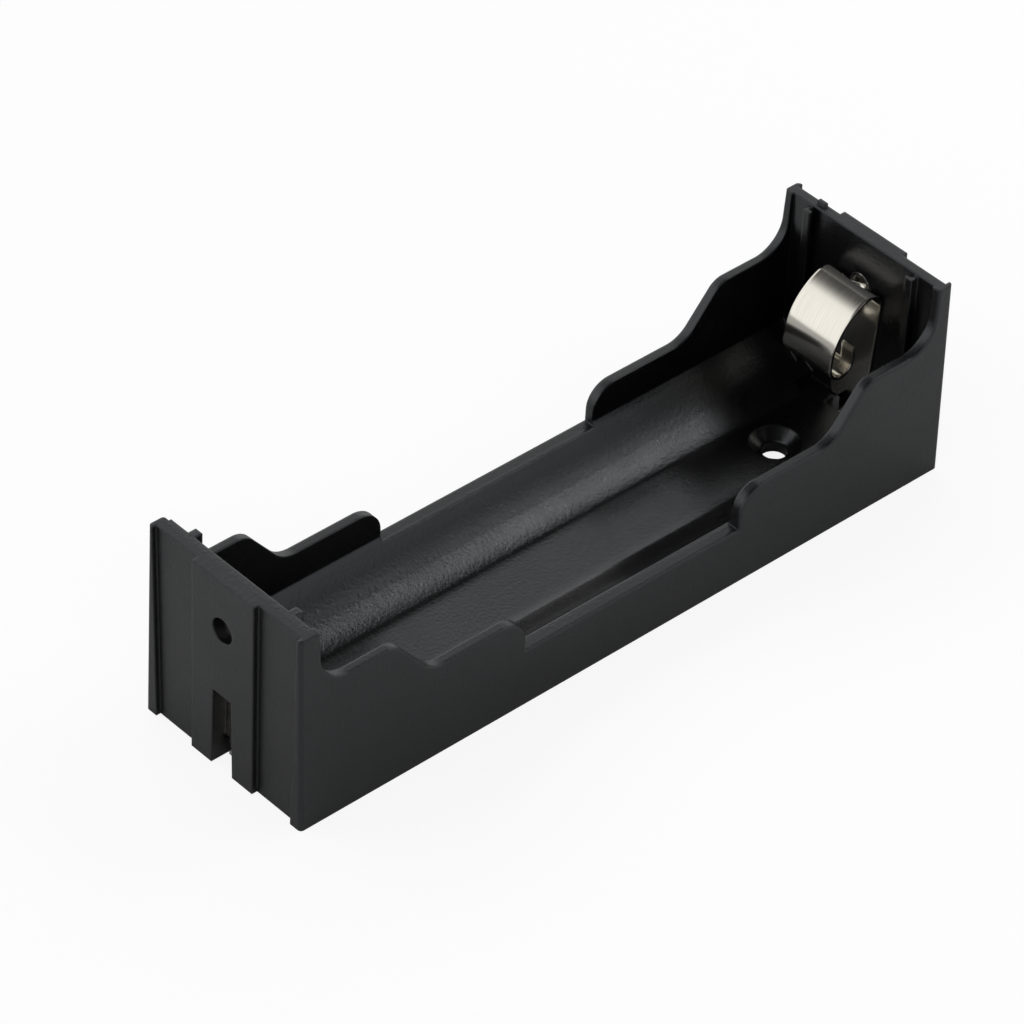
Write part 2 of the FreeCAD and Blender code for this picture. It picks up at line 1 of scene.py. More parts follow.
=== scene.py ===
# %% [markdown]
# # A holder for one cylindrical cell
# The object is an open black tray, moulded in one shot, with a folded spring contact pressed into
# each end wall. Its shape was drawn first in a CAD program and arrives here as a fixed frame, in
# metres, with +X along the tray towards the contact that the photograph shows and +Z up.
# This notebook gives that frame its looks: soft mould edges, a grained black plastic, plated
# spring strip with its rolling lines, and the light and the camera of the photograph.

# %% Load the frame
import bmesh
import bpy
import numpy as np
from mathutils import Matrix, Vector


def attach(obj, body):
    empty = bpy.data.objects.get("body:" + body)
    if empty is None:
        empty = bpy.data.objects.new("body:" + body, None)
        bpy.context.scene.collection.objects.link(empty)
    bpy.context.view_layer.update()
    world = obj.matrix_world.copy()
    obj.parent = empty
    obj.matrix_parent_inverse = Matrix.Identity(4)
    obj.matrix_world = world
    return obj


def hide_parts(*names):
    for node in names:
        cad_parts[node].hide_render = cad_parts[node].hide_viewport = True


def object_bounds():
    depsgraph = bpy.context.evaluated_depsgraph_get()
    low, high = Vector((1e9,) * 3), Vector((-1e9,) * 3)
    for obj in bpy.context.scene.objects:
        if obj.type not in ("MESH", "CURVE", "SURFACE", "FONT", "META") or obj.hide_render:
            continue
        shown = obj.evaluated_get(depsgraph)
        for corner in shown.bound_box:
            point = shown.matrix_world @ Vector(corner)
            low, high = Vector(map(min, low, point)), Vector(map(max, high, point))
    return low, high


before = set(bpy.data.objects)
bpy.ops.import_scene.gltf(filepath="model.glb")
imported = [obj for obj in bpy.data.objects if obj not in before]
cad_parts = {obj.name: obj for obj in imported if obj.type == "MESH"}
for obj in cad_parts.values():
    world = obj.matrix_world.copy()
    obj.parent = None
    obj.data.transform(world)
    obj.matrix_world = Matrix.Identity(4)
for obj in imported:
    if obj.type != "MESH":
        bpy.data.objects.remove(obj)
cad_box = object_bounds()
MM = 0.001
print("CAD nodes:", ", ".join(sorted(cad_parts)))
print("CAD box in mm:", [[round(value / MM, 2) for value in corner] for corner in cad_box])

# %% [markdown]
# ## The camera
# A camera can be found from a photograph by laying known corners of the object over their pixels
# and turning the camera until they meet. Nine corners of the tray gave the values below. The long
# lens and its distance belong together: the tray is 78 mm long, seen from half a metre away.

# %% Place the camera
PICTURE_WIDTH_PX = 1024
FOCAL_LENGTH_PX = 5639.072
SENSOR_WIDTH_MM = 36.0
AZIMUTH_DEG = -43.732
ELEVATION_DEG = 39.786
ROLL_DEG = 2.709
DISTANCE_MM = 505.9
AIM_MM = np.array([0.0, 0.0, 10.0])
AIM_RIGHT_MM = -4.081
AIM_UP_MM = -1.152
NEAREST_SEEN_MM = 10.0


def camera_axes(azimuth_deg, elevation_deg, roll_deg):
    """Right, up and back as rows: back points from the object to the camera, and the roll turns
    right and up about it."""
    azimuth, elevation, roll = np.radians([azimuth_deg, elevation_deg, roll_deg])
    level = np.cos(elevation)
    back = np.array([np.sin(azimuth) * level, -np.cos(azimuth) * level, np.sin(elevation)])
    right = np.array([np.cos(azimuth), np.sin(azimuth), 0.0])
    up = np.cross(back, right)
    turned_right = np.cos(roll) * right + np.sin(roll) * up
    turned_up = np.cos(roll) * up - np.sin(roll) * right
    return np.array([turned_right, turned_up, back])


axes = camera_axes(AZIMUTH_DEG, ELEVATION_DEG, ROLL_DEG)
camera_place_mm = AIM_MM + np.array([AIM_RIGHT_MM, AIM_UP_MM, DISTANCE_MM]) @ axes
camera_matrix = np.eye(4)
camera_matrix[:3, :3] = axes.T
camera_matrix[:3, 3] = camera_place_mm * MM
camera_data = bpy.data.cameras.new("photograph_camera")
camera_data.sensor_fit = "HORIZONTAL"
camera_data.sensor_width = SENSOR_WIDTH_MM
camera_data.lens = FOCAL_LENGTH_PX / PICTURE_WIDTH_PX * SENSOR_WIDTH_MM
camera_data.clip_start = NEAREST_SEEN_MM * MM
camera = bpy.data.objects.new("photograph_camera", camera_data)
camera.matrix_world = camera_matrix.T.tolist()
bpy.context.scene.collection.objects.link(camera)
bpy.context.scene.camera = camera
print(f"Lens {camera_data.lens:.1f} mm, camera at {np.round(camera_place_mm, 1).tolist()} mm")

# %% [markdown]
# ## Colour and node helpers
# Colours are easiest to read as the hex values of a colour picker, but a renderer counts light in
# linear steps, so one function turns the first into the second. A second function adds a shader
# node with its settings: an input that is given another node's output is linked to it.

# %% Colour and node helpers
def linear(hex_colour):
    """Scene-linear RGBA of an sRGB hex colour: ((c + 0.055) / 1.055) ^ 2.4 above the straight toe."""
    channels = np.array([int(hex_colour[place:place + 2], 16) for place in (1, 3, 5)]) / 255
    curve = ((channels + 0.055) / 1.055) ** 2.4
    values = np.where(channels <= 0.04045, channels / 12.92, curve)
    return (*values.tolist(), 1.0)


def add_node(tree, kind, inputs=None, **settings):
    """Add a node with its settings; an input that is a socket is linked, any other is a value."""
    node = tree.nodes.new(kind)
    for name, value in settings.items():
        setattr(node, name, value)
    for name, value in (inputs or {}).items():
        if isinstance(value, bpy.types.NodeSocket):
            tree.links.new(value, node.inputs[name])
        else:
            node.inputs[name].default_value = value
    return node


def empty_material(name):
    """A material with no nodes yet, and its tree."""
    material = bpy.data.materials.new(name)
    material.use_nodes = True
    material.node_tree.nodes.clear()
    return material, material.node_tree


print("Mid grey #808080 is", round(linear("#808080")[0], 3), "in linear light")

# %% [markdown]
# ## Black moulded plastic
# The tray is a filled black engineering plastic. Its mould was cut by spark erosion, which leaves
# tiny craters, so the surface is satin: its own colour is nearly black, and what the eye sees as
# dark grey is the white room, reflected and blurred. The craters are a few hundredths of a
# millimetre wide. They are drawn here at about a third of a millimetre, because anything finer
# would be lost between the pixels. Fillers float up in soft clouds a few millimetres wide, and the
# flow of the plastic leaves short wormy flecks, raised a little and smoother than the rest. The
# inside of the tray was shaped by the mould's core, which is polished finer than the outer half, so
# the material gets glossier inside a box around the cell room.

# %% Make the plastic
GRAIN_MM = 0.36
GRAIN_DEPTH_MM = 0.03
CLOUD_MM = 5.0
FLECK_MM = 0.36
FLECK_DEPTH_MM = 0.02
FLECK_ROUGHNESS_DROP = 0.10
EDGE_ROUND_MM = 0.28
SATIN_ROUGHNESS = 0.38
CLOUD_ROUGHNESS_SPREAD = 0.03
CORE_ROUGHNESS_DROP = 0.13
CORE_HALF_LENGTH_MM = 37.6
CORE_HALF_WIDTH_MM = 9.28
PLASTIC_IOR = 1.55
COOL_GLOSS = (0.93, 0.965, 1.0, 1.0)


def moulded_plastic():
    """Satin black: near-black base, roughness from clouds and flecks, bump from flecks and grain."""
    material, tree = empty_material("spark_eroded_black_plastic")
    place = add_node(tree, "ShaderNodeTexCoord").outputs["Object"]
    grain = add_node(tree, "ShaderNodeTexNoise", {
        "Vector": place, "Scale": 1 / (GRAIN_MM * MM), "Detail": 3.0, "Roughness": 0.6})
    clouds = add_node(tree, "ShaderNodeTexNoise", {
        "Vector": place, "Scale": 1 / (CLOUD_MM * MM), "Detail": 4.0, "Roughness": 0.6})
    flecks = add_node(tree, "ShaderNodeTexNoise", {
        "Vector": place, "Scale": 1 / (FLECK_MM * MM), "Detail": 2.0, "Distortion": 1.5})
    smooth_flecks = add_node(tree, "ShaderNodeMapRange", {
        "Value": flecks.outputs["Fac"], "From Min": 0.60, "From Max": 0.72,
        "To Min": 0.0, "To Max": FLECK_ROUGHNESS_DROP})
    cloudy = add_node(tree, "ShaderNodeMapRange", {
        "Value": clouds.outputs["Fac"], "From Min": 0.3, "From Max": 0.7,
        "To Min": SATIN_ROUGHNESS + CLOUD_ROUGHNESS_SPREAD,
        "To Max": SATIN_ROUGHNESS - CLOUD_ROUGHNESS_SPREAD})
    parts = add_node(tree, "ShaderNodeSeparateXYZ", {"Vector": place})
    off_middle_x = add_node(tree, "ShaderNodeMath", {0: parts.outputs["X"]}, operation="ABSOLUTE")
    off_middle_y = add_node(tree, "ShaderNodeMath", {0: parts.outputs["Y"]}, operation="ABSOLUTE")
    within_ends = add_node(tree, "ShaderNodeMath", {
        0: off_middle_x.outputs["Value"], 1: CORE_HALF_LENGTH_MM * MM}, operation="LESS_THAN")
    within_walls = add_node(tree, "ShaderNodeMath", {
        0: off_middle_y.outputs["Value"], 1: CORE_HALF_WIDTH_MM * MM}, operation="LESS_THAN")
    core_side = add_node(tree, "ShaderNodeMath", {
        0: within_ends.outputs["Value"], 1: within_walls.outputs["Value"]}, operation="MULTIPLY")
    polished = add_node(tree, "ShaderNodeMath", {
        0: core_side.outputs["Value"], 1: CORE_ROUGHNESS_DROP,
        2: smooth_flecks.outputs["Result"]}, operation="MULTIPLY_ADD")
    satin = add_node(tree, "ShaderNodeMath", {
        0: cloudy.outputs["Result"], 1: polished.outputs["Value"]}, operation="SUBTRACT")
    colour = add_node(tree, "ShaderNodeValToRGB", {"Fac": clouds.outputs["Fac"]})
    colour.color_ramp.elements[0].position = 0.3
    colour.color_ramp.elements[0].color = linear("#070708")
    colour.color_ramp.elements[1].position = 0.7
    colour.color_ramp.elements[1].color = linear("#0c0c0e")
    edges = add_node(tree, "ShaderNodeBevel", {"Radius": EDGE_ROUND_MM * MM}, samples=6)
    worms = add_node(tree, "ShaderNodeBump", {
        "Height": flecks.outputs["Fac"], "Strength": 0.4, "Distance": FLECK_DEPTH_MM * MM,
        "Normal": edges.outputs["Normal"]})
    relief = add_node(tree, "ShaderNodeBump", {
        "Height": grain.outputs["Fac"], "Strength": 0.65, "Distance": GRAIN_DEPTH_MM * MM,
        "Normal": worms.outputs["Normal"]})
    shader = add_node(tree, "ShaderNodeBsdfPrincipled", {
        "Base Color": colour.outputs["Color"], "Roughness": satin.outputs["Value"],
        "IOR": PLASTIC_IOR, "Specular Tint": COOL_GLOSS, "Normal": relief.outputs["Normal"]})
    add_node(tree, "ShaderNodeOutputMaterial", {"Surface": shader.outputs["BSDF"]})
    return material


black_plastic = moulded_plastic()
print("Plastic:", black_plastic.name, "with", len(black_plastic.node_tree.nodes), "nodes")

# %% [markdown]
# ## Nickel-plated spring strip
# The contacts are stamped from rolled spring steel and plated with nickel, a warm grey metal.
# Rolling leaves fine lines along the strip, so highlights smear across it. The lines follow the
# metal round every bend, so they can't be drawn in space: the strip's own map holds the distance
# along it and across it, in millimetres, and the pattern is drawn on that map.

# %% Make the plated strip
LINE_LENGTH_MM = 4.0
LINE_WIDTH_MM = 0.07
LINE_DEPTH_MM = 0.005
STRIP_ROUGHNESS_LOW = 0.11
STRIP_ROUGHNESS_HIGH = 0.17


def plated_strip():
    """Bright nickel: full metal, low roughness with rolling lines in roughness and bump."""
    material, tree = empty_material("nickel_plated_spring_steel")
    along_strip = add_node(tree, "ShaderNodeUVMap", uv_map="strip_mm").outputs["UV"]
    stretched = add_node(tree, "ShaderNodeMapping", {
        "Vector": along_strip, "Scale": (1 / LINE_LENGTH_MM, 1 / LINE_WIDTH_MM, 1.0)})
    lines = add_node(tree, "ShaderNodeTexNoise", {
        "Vector": stretched.outputs["Vector"], "Scale": 1.0, "Detail": 2.0, "Roughness": 0.6})
    tone = add_node(tree, "ShaderNodeValToRGB", {"Fac": lines.outputs["Fac"]})
    tone.color_ramp.elements[0].position = 0.3
    tone.color_ramp.elements[0].color = linear("#c9c5bb")
    tone.color_ramp.elements[1].position = 0.7
    tone.color_ramp.elements[1].color = linear("#d6d2c9")
    polish = add_node(tree, "ShaderNodeMapRange", {
        "Value": lines.outputs["Fac"], "From Min": 0.3, "From Max": 0.7,
        "To Min": STRIP_ROUGHNESS_LOW, "To Max": STRIP_ROUGHNESS_HIGH})
    relief = add_node(tree, "ShaderNodeBump", {
        "Height": lines.outputs["Fac"], "Strength": 0.1, "Distance": LINE_DEPTH_MM * MM})
    shader = add_node(tree, "ShaderNodeBsdfPrincipled", {
        "Base Color": tone.outputs["Color"], "Metallic": 1.0,
        "Roughness": polish.outputs["Result"], "Normal": relief.outputs["Normal"]})
    add_node(tree, "ShaderNodeOutputMaterial", {"Surface": shader.outputs["BSDF"]})
    return material


nickel_strip = plated_strip()
print("Strip:", nickel_strip.name, "with", len(nickel_strip.node_tree.nodes), "nodes")

# %% [markdown]
# ## The tray
# A copy of the CAD mesh is merged and its flat faces get well-shaped triangles. An edge counts as
# sharp when the two faces beside it turn by more than 25 degrees, and weighted normals keep the
# flats flat up to those edges. No moulding has a knife edge, though: the plastic's material looks
# about a quarter of a millimetre round every point, and turns the normal there as a small round
# would. That draws the thin light line on each edge that tells the eye it is a moulding.

# %% Dress the tray
EDGE_ANGLE_DEG = 25.0
FLAT_ANGLE_DEG = 0.5
SLIVER_MM = 0.02
SAME_CORNER_MM = 0.001
NO_LENGTH_MM = 0.002


def steady_normal(face):
    """The face's normal, or, for a needle-thin triangle, that of the face across its longest edge."""
    longest = max(face.edges, key=lambda edge: edge.calc_length())
    if 2 * face.calc_area() / longest.calc_length() > SLIVER_MM * MM:
        return face.normal
    others = [other for other in longest.link_faces if other is not face]
    return max(others + [face], key=lambda other: other.calc_area()).normal


def merged_copy(node, name):
    """A copy of a CAD node's loose triangles with shared corners, and its sharp edges marked."""
    work = bmesh.new()
    work.from_mesh(node.data)
    bmesh.ops.remove_doubles(work, verts=work.verts, dist=SAME_CORNER_MM * MM)
    bmesh.ops.dissolve_degenerate(work, edges=work.edges, dist=NO_LENGTH_MM * MM)
    flat = np.radians(FLAT_ANGLE_DEG)
    flat_edges = [edge for edge in work.edges if edge.is_manifold and edge.calc_face_angle() < flat]
    bmesh.ops.beautify_fill(work, faces=work.faces, edges=flat_edges, method="ANGLE")
    for edge in work.edges:
        if len(edge.link_faces) == 2:
            first, second = [steady_normal(face) for face in edge.link_faces]
            edge.smooth = first.angle(second) < np.radians(EDGE_ANGLE_DEG)
    for face in work.faces:
        face.smooth = True
    mesh = bpy.data.meshes.new(name)
    work.to_mesh(mesh)
    work.free()
    mesh.materials.clear()
    return mesh


tray_mesh = merged_copy(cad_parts["housing"], "moulded_tray")
tray_mesh.materials.append(black_plastic)
tray = bpy.data.objects.new("moulded_tray", tray_mesh)
bpy.context.scene.collection.objects.link(tray)
shading = tray.modifiers.new("flat_faces", "WEIGHTED_NORMAL")
shading.keep_sharp = True
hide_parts("housing")
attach(tray, "root")
print("Tray faces:", len(tray_mesh.polygons))

# %% [markdown]
# ## The shape of a contact
# A contact is one strip of metal, so it is one surface: the distance along the strip sets where a
# point lies on the strip's side profile, and the distance across sets its Y. The profile is a run
# of straights and arcs: solder tail and back plate up the wall, a tight bend over the top, the
# bulging sprung leaf that meets the cell, a curl under it, and a short upright end inside the loop.

# %% Measure the contact's profile
STRIP_HALF_WIDTH_MM = 3.15
GAUGE_MM = 0.3
WALL_FACE_MM = 37.5
PLATE_X_MM = WALL_FACE_MM - GAUGE_MM / 2
TAIL_FOOT_MM = 0.3
BEND_HEIGHT_MM = 15.4
BEND_RADIUS_MM = 1.6
BEND_SWEEP_DEG = 112.8
LEAF_RADIUS_MM = 6.3
LEAF_STRAIGHT_MM = 0.3
CURL_RADIUS_MM = 1.45
CURL_END_MM = 1.3
TAPER_FOOT_MM = 2.3
TAPER_HALF_WIDTH_MM = 2.2
TAIL_HALF_WIDTH_MM = 0.9
END_SLOT_HALF_MM = 1.6
END_SLOT_DEPTH_MM = 1.76
WALK_POINTS = 24001

# Each stretch of the profile: its length, and how much it turns per millimetre
strip_stretches = np.array([
    (BEND_HEIGHT_MM - TAIL_FOOT_MM, 0.0),
    (BEND_RADIUS_MM * np.radians(BEND_SWEEP_DEG), 1 / BEND_RADIUS_MM),
    (LEAF_RADIUS_MM * np.radians(180 - BEND_SWEEP_DEG), 1 / LEAF_RADIUS_MM),
    (LEAF_STRAIGHT_MM, 0.0),
    (CURL_RADIUS_MM * np.pi, 1 / CURL_RADIUS_MM),
    (CURL_END_MM, 0.0),
])
strip_marks = np.concatenate([[0.0], np.cumsum(strip_stretches[:, 0])])
print(f"Strip length flat: {strip_marks[-1]:.1f} mm")


def profile(distance):
    """Side profile: the heading is 90 degrees plus the turn so far, and X and Z are the sums of
    its cosine and sine along a fine walk, read off at each distance."""
    walk = np.linspace(0.0, strip_marks[-1], WALK_POINTS)
    middle = (walk[1:] + walk[:-1]) / 2
    stretch = np.clip(np.searchsorted(strip_marks, middle) - 1, 0, len(strip_stretches) - 1)
    step = np.diff(walk)
    turn = np.cumsum(strip_stretches[stretch, 1] * step) - strip_stretches[stretch, 1] * step / 2
    heading = np.pi / 2 + turn
    along_x = PLATE_X_MM + np.concatenate([[0.0], np.cumsum(np.cos(heading) * step)])
    along_z = TAIL_FOOT_MM + np.concatenate([[0.0], np.cumsum(np.sin(heading) * step)])
    return np.interp(distance, walk, along_x), np.interp(distance, walk, along_z)


def half_width(distance):
    """Half of the strip's width: full from the bend on, tapering down the plate, narrow tail."""
    taper_start = TAPER_FOOT_MM - TAIL_FOOT_MM
    taper_end = BEND_HEIGHT_MM - TAIL_FOOT_MM
    taper = np.interp(distance, [taper_start, taper_end], [TAPER_HALF_WIDTH_MM, STRIP_HALF_WIDTH_MM])
    return np.where(distance < taper_start - 0.001, TAIL_HALF_WIDTH_MM, taper)


leaf_x, leaf_z = profile(strip_marks[3])
print(f"The leaf stands furthest out at x {leaf_x:.2f}, z {leaf_z:.2f} mm")

# %% [markdown]
# ## The tongue
# A tongue is cut free in the middle of the bend and stays upright, while the metal on each side of
# it bends over. A small step in its neck offsets it outwards, and its round head snaps into the
# hole of the end wall and holds the contact. The head is pressed to a shallow dish. It is drawn as
# a disc: a square grid becomes one when each point is drawn in by the square root of one minus half
# the other side squared, which leaves no pinched middle.

# %% Measure the tongue
TONGUE_HALF_MM = 1.175
SLOT_HALF_MM = 1.425
SLOT_ROOT_Z_MM = 14.9
SLOT_FRONT_X_MM = 36.4
HEAD_Z_MM = 16.0
STEP_START_Z_MM = 15.5
STEP_END_Z_MM = 15.9
STEP_OUT_MM = 0.35
DISH_RADIUS_MM = 1.0
DISH_DEPTH_MM = 0.27


def pressed_out(across, up):
    """How far the tongue stands off the plate: a smooth step, 3t^2 - 2t^3, and a round dish whose
    depth falls off as (1 - r^2)^2, so that it leaves the head without a crease."""
    t = np.clip((up - STEP_START_Z_MM) / (STEP_END_Z_MM - STEP_START_Z_MM), 0.0, 1.0)
    step = STEP_OUT_MM * (3 * t ** 2 - 2 * t ** 3)
    inside = np.clip(1 - (across ** 2 + (up - HEAD_Z_MM) ** 2) / DISH_RADIUS_MM ** 2, 0.0, 1.0)
    return step + DISH_DEPTH_MM * inside ** 2


def tongue_surface(columns, rows):
    """X, Y and Z of the tongue: a straight stem, then the grid's upper rows drawn to a disc."""
    stem = np.linspace(SLOT_ROOT_Z_MM, HEAD_Z_MM, rows)
    side, height = np.meshgrid(columns, stem)
    u, v = np.meshgrid(columns / TONGUE_HALF_MM, np.linspace(0.0, 1.0, rows)[1:])
    head_side = TONGUE_HALF_MM * u * np.sqrt(1 - v ** 2 / 2)
    head_height = HEAD_Z_MM + TONGUE_HALF_MM * v * np.sqrt(1 - u ** 2 / 2)
    across = np.vstack([side, head_side])
    up = np.vstack([height, head_height])
    out = PLATE_X_MM + pressed_out(across, up)
    return out, across, up


print(f"Tongue {2 * TONGUE_HALF_MM:.1f} mm wide, its top at z {HEAD_Z_MM + TONGUE_HALF_MM:.2f} mm")

# %% [markdown]
# ## A grid along the strip
# The strip is drawn as a grid. Its rows follow the metal, closer together where it bends, and its
# columns run across, with one on each side of every cut. Cells that fall in the tongue's cut or in
# the slot that splits the end are left out. The tongue has a grid of its own, which starts on the
# row where the tongue is cut free and has the same columns there.

# %% Lay out the grid
def grid_cells(rows, columns, first=0):
    """Corner numbers of a grid's cells, one row of four for each cell."""
    corner = np.arange(rows - 1)[:, None] * columns + np.arange(columns - 1)[None, :] + first
    return np.stack([corner, corner + 1, corner + columns + 1, corner + columns], axis=-1)


side_columns = np.append(SLOT_HALF_MM, np.linspace(END_SLOT_HALF_MM, STRIP_HALF_WIDTH_MM, 8))
tongue_columns = np.linspace(-TONGUE_HALF_MM, TONGUE_HALF_MM, 41)
strip_columns = np.concatenate([-side_columns[::-1], tongue_columns, side_columns])
cut_start = SLOT_ROOT_Z_MM - TAIL_FOOT_MM
cut_angle = np.arccos((SLOT_FRONT_X_MM - PLATE_X_MM + BEND_RADIUS_MM) / BEND_RADIUS_MM)
cut_end = strip_marks[1] + BEND_RADIUS_MM * cut_angle
taper_foot = TAPER_FOOT_MM - TAIL_FOOT_MM
split_start = strip_marks[6] - END_SLOT_DEPTH_MM
strip_rows = np.concatenate([
    np.linspace(0.0, taper_foot - 0.002, 5),
    np.linspace(taper_foot, cut_start, 24),
    np.linspace(cut_start, strip_marks[1], 4)[1:],
    np.linspace(strip_marks[1], cut_end, 10)[1:],
    np.linspace(cut_end, strip_marks[2], 12)[1:],
    np.linspace(strip_marks[2], strip_marks[3], 40)[1:],
    np.linspace(strip_marks[3], strip_marks[4], 4)[1:],
    np.linspace(strip_marks[4], split_start, 33)[1:],
    np.linspace(split_start, strip_marks[6], 10)[1:],
])
middle_row = (strip_rows[1:] + strip_rows[:-1]) / 2
off_middle = np.abs(strip_columns[1:] + strip_columns[:-1]) / 2
in_cut = ((middle_row > cut_start) & (middle_row < cut_end))[:, None] & (off_middle < SLOT_HALF_MM)
in_split = (middle_row > split_start)[:, None] & (off_middle < END_SLOT_HALF_MM)
strip_cells = grid_cells(len(strip_rows), len(strip_columns))[~(in_cut | in_split)]
print("Strip:", len(strip_rows), "rows of", len(strip_columns), "points,", len(strip_cells), "cells")

# %% [markdown]
# ## From grid to points
# Each row and column is turned into a place in space, and into the same point's place on the flat
# strip, which is the map that the rolling lines are drawn on.

# %% Place the points
strip_x, strip_z = profile(strip_rows)
strip_y = half_width(strip_rows)[:, None] * strip_columns[None, :] / STRIP_HALF_WIDTH_MM
strip_points = np.stack(np.broadcast_arrays(strip_x[:, None], strip_y, strip_z[:, None]), axis=-1)
strip_map = np.stack(np.broadcast_arrays(strip_rows[:, None], strip_y), axis=-1)

tongue_share = half_width(cut_start) / STRIP_HALF_WIDTH_MM
tongue_x, tongue_y, tongue_z = tongue_surface(tongue_columns * tongue_share, 26)
tongue_points = np.stack([tongue_x, tongue_y, tongue_z], axis=-1)
tongue_map = np.stack([tongue_z - TAIL_FOOT_MM, tongue_y], axis=-1)
tongue_cells = grid_cells(*tongue_x.shape, first=strip_y.size).reshape(-1, 4)

sheet_points = np.concatenate([strip_points.reshape(-1, 3), tongue_points.reshape(-1, 3)])
sheet_map = np.concatenate([strip_map.reshape(-1, 2), tongue_map.reshape(-1, 2)])
sheet_cells = np.concatenate([strip_cells, tongue_cells])
print("Sheet:", len(sheet_points), "points and", len(sheet_cells), "cells")

# %% [markdown]
# ## From surface to strip
# Solidify gives the sheet its gauge of 0.3 mm, and a small bevel breaks the edges that the press
# tool sheared. The contact at the other end is the same strip turned half round.

# %% Build the contacts
SHEET_CORNER_MM = 0.0005
BROKEN_EDGE_MM = 0.045
BROKEN_EDGE_DEG = 50


def contact_mesh(name, facing):
    """The contact as one sheet: facing is 1 for the +X end and -1 for the other."""
    mesh = bpy.data.meshes.new(name)
    turned = sheet_points * np.array([facing, facing, 1.0]) * MM
    mesh.from_pydata(turned.tolist(), [], sheet_cells.tolist())
    layer = mesh.uv_layers.new(name="strip_mm")
    corners = np.empty(len(mesh.loops), dtype=np.int32)
    mesh.loops.foreach_get("vertex_index", corners)
    layer.data.foreach_set("uv", sheet_map[corners].ravel())
    work = bmesh.new()
    work.from_mesh(mesh)
    bmesh.ops.remove_doubles(work, verts=work.verts, dist=SHEET_CORNER_MM * MM)
    loose = [vert for vert in work.verts if not vert.link_faces]
    bmesh.ops.delete(work, geom=loose, context="VERTS")
    for face in work.faces:
        face.smooth = True
    work.to_mesh(mesh)
    work.free()
    mesh.materials.append(nickel_strip)
    return mesh


def add_contact(name, node, facing):
    """Put one contact in the scene in place of its CAD node."""
    contact = bpy.data.objects.new(name, contact_mesh(name, facing))
    bpy.context.scene.collection.objects.link(contact)
    gauge = contact.modifiers.new("strip_gauge", "SOLIDIFY")
    gauge.thickness = GAUGE_MM * MM
    gauge.offset = 0.0
    gauge.use_even_offset = True
    broken = contact.modifiers.new("broken_edges", "BEVEL")
    broken.width = BROKEN_EDGE_MM * MM
    broken.segments = 2
    broken.limit_method = "ANGLE"
    broken.angle_limit = np.radians(BROKEN_EDGE_DEG)
    broken.use_clamp_overlap = False
    shade = contact.modifiers.new("flat_faces", "WEIGHTED_NORMAL")
    shade.keep_sharp = True
    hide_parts(node)
    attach(contact, "root")
    print(name, "has", len(contact.data.polygons), "sheet faces")


add_contact("spring_contact_far", "contact_far", 1)
add_contact("spring_contact_near", "contact_near", -1)

# %% [markdown]
# ## The floor
# The tray lies on a white sweep. Rays from the camera find the paper almost white, with only the
# soft contact shadow, as in a product photograph: a diffuse share takes the shadow and a glow lifts
# it. All other rays find plain white paper, so the glow lights nothing.

# %% Add the floor
FLOOR_SIZE = 4.0
FLOOR_GAP_MM = 0.02
FLOOR_GLOW = 0.86


def sweep_paper():
    """Matt white paper: a diffuse share that takes the shadow and, for the camera, a glow."""
    material, tree = empty_material("matt_white_sweep")
    rays = add_node(tree, "ShaderNodeLightPath")
    paper = add_node(tree, "ShaderNodeBsdfDiffuse", {"Color": linear("#f0f0f0")})
    shown = add_node(tree, "ShaderNodeBsdfDiffuse", {"Color": linear("#7c7c7c")})
    glow = add_node(tree, "ShaderNodeEmission", {"Color": (1, 1, 1, 1), "Strength": FLOOR_GLOW})
    lifted = add_node(tree, "ShaderNodeAddShader", {
        0: shown.outputs["BSDF"], 1: glow.outputs["Emission"]})
    choice = add_node(tree, "ShaderNodeMixShader", {
        "Fac": rays.outputs["Is Camera Ray"], 1: paper.outputs["BSDF"],
        2: lifted.outputs["Shader"]})
    add_node(tree, "ShaderNodeOutputMaterial", {"Surface": choice.outputs["Shader"]})
    return material


floor_mesh = bpy.data.meshes.new("white_sweep")
reach = FLOOR_SIZE / 2
floor_corners = [(-reach, -reach, 0), (reach, -reach, 0), (reach, reach, 0), (-reach, reach, 0)]
floor_mesh.from_pydata(floor_corners, [], [(0, 1, 2, 3)])
floor_mesh.materials.append(sweep_paper())
floor = bpy.data.objects.new("white_sweep", floor_mesh)
bpy.context.scene.collection.objects.link(floor)
floor.location.z = cad_box[0][2] - FLOOR_GAP_MM * MM
print("Floor", FLOOR_SIZE, "m square")

# %% [markdown]
# ## Two small lamps
# Black plastic shows little but gloss, so a lamp is seen on it only where the surface mirrors the
# lamp into the camera. Two small ones stand where the round slope of the cradle does that. They are
# close, so their light fades towards both ends of the tray.

# %% Add the lamps
def softbox(name, azimuth_deg, elevation_deg, distance, width, height, watts):
    """A rectangular lamp, in metres, at a compass angle and height angle round the tray, facing it."""
    data = bpy.data.lights.new(name, "AREA")
    data.shape = "RECTANGLE"
    data.size = width
    data.size_y = height
    data.energy = watts
    lamp = bpy.data.objects.new(name, data)
    azimuth, elevation = np.radians([azimuth_deg, elevation_deg])
    back = np.array([np.cos(azimuth) * np.cos(elevation), np.sin(azimuth) * np.cos(elevation),
                     np.sin(elevation)])
    right = np.array([-np.sin(azimuth), np.cos(azimuth), 0.0])
    matrix = np.eye(4)
    matrix[:3, :3] = np.stack([right, np.cross(back, right), back], axis=1)
    matrix[:3, 3] = back * distance
    lamp.matrix_world = matrix.T.tolist()
    bpy.context.scene.collection.objects.link(lamp)
    print(name, "gives", watts, "W from", distance, "m")


softbox("cradle_softbox", -18, 54, 0.36, 0.11, 0.08, 0.095)
softbox("slope_softbox", -40, 45, 0.36, 0.12, 0.08, 0.04)

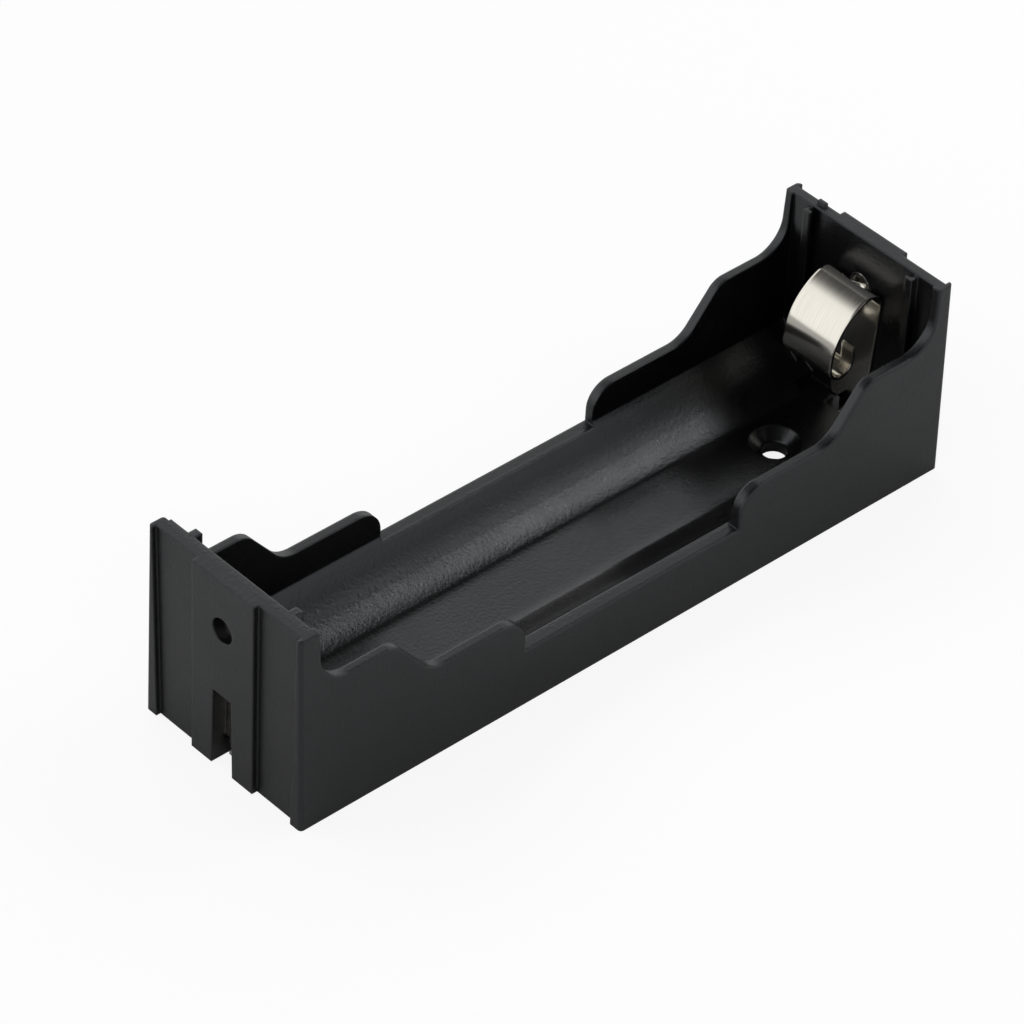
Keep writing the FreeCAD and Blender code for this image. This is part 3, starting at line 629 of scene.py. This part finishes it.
# %% [markdown]
# ## The white room
# Most of the light comes from the room: a bright band of wall all round, brighter on the window
# side behind the tray on the left, under a dark ceiling that hangs a little lower on the camera's
# side. The leaf of the contact mirrors that band and the dark tray below it. The camera itself sees
# plain white.

# %% Light the room
WINDOW_AZIMUTH_DEG = 122
WINDOW_LIGHT = 1.35
FRONT_LIGHT = 0.8
FRONT_END = -0.7
WINDOW_START = 0.8
CEILING_SHARE = 0.05
CEILING_TILT_DEG = 9
CEILING_START = 0.60
CEILING_FULL = 0.76

surroundings = bpy.data.worlds.new("white_room")
surroundings.use_nodes = True
room = surroundings.node_tree
room.nodes.clear()
room_rays = add_node(room, "ShaderNodeLightPath")
direction = add_node(room, "ShaderNodeTexCoord").outputs["Generated"]
window = np.radians(WINDOW_AZIMUTH_DEG)
facing = add_node(room, "ShaderNodeVectorMath", {
    0: direction, 1: (np.cos(window), np.sin(window), 0.0)}, operation="DOT_PRODUCT")
wall = add_node(room, "ShaderNodeMapRange", {
    "Value": facing.outputs["Value"], "From Min": FRONT_END, "From Max": WINDOW_START,
    "To Min": FRONT_LIGHT, "To Max": WINDOW_LIGHT})
tilt = np.radians(CEILING_TILT_DEG)
ceiling_axis = (-np.sin(tilt) * np.cos(window), -np.sin(tilt) * np.sin(window), np.cos(tilt))
rise = add_node(room, "ShaderNodeVectorMath", {
    0: direction, 1: ceiling_axis}, operation="DOT_PRODUCT")
below_ceiling = add_node(room, "ShaderNodeMapRange", {
    "Value": rise.outputs["Value"], "From Min": CEILING_START, "From Max": CEILING_FULL,
    "To Min": 1.0, "To Max": CEILING_SHARE}, interpolation_type="SMOOTHSTEP")
level = add_node(room, "ShaderNodeMath", {
    0: wall.outputs["Result"], 1: below_ceiling.outputs["Result"]}, operation="MULTIPLY")
seen = add_node(room, "ShaderNodeBackground", {"Color": (1, 1, 1, 1), "Strength": 1.0})
felt = add_node(room, "ShaderNodeBackground", {
    "Color": (1, 1, 1, 1), "Strength": level.outputs["Value"]})
either = add_node(room, "ShaderNodeMixShader", {
    "Fac": room_rays.outputs["Is Camera Ray"], 1: felt.outputs["Background"],
    2: seen.outputs["Background"]})
add_node(room, "ShaderNodeOutputWorld", {"Surface": either.outputs["Shader"]})
bpy.context.scene.world = surroundings
bpy.context.scene.view_settings.view_transform = "Standard"
print("Room light: window", WINDOW_LIGHT, "and front", FRONT_LIGHT)
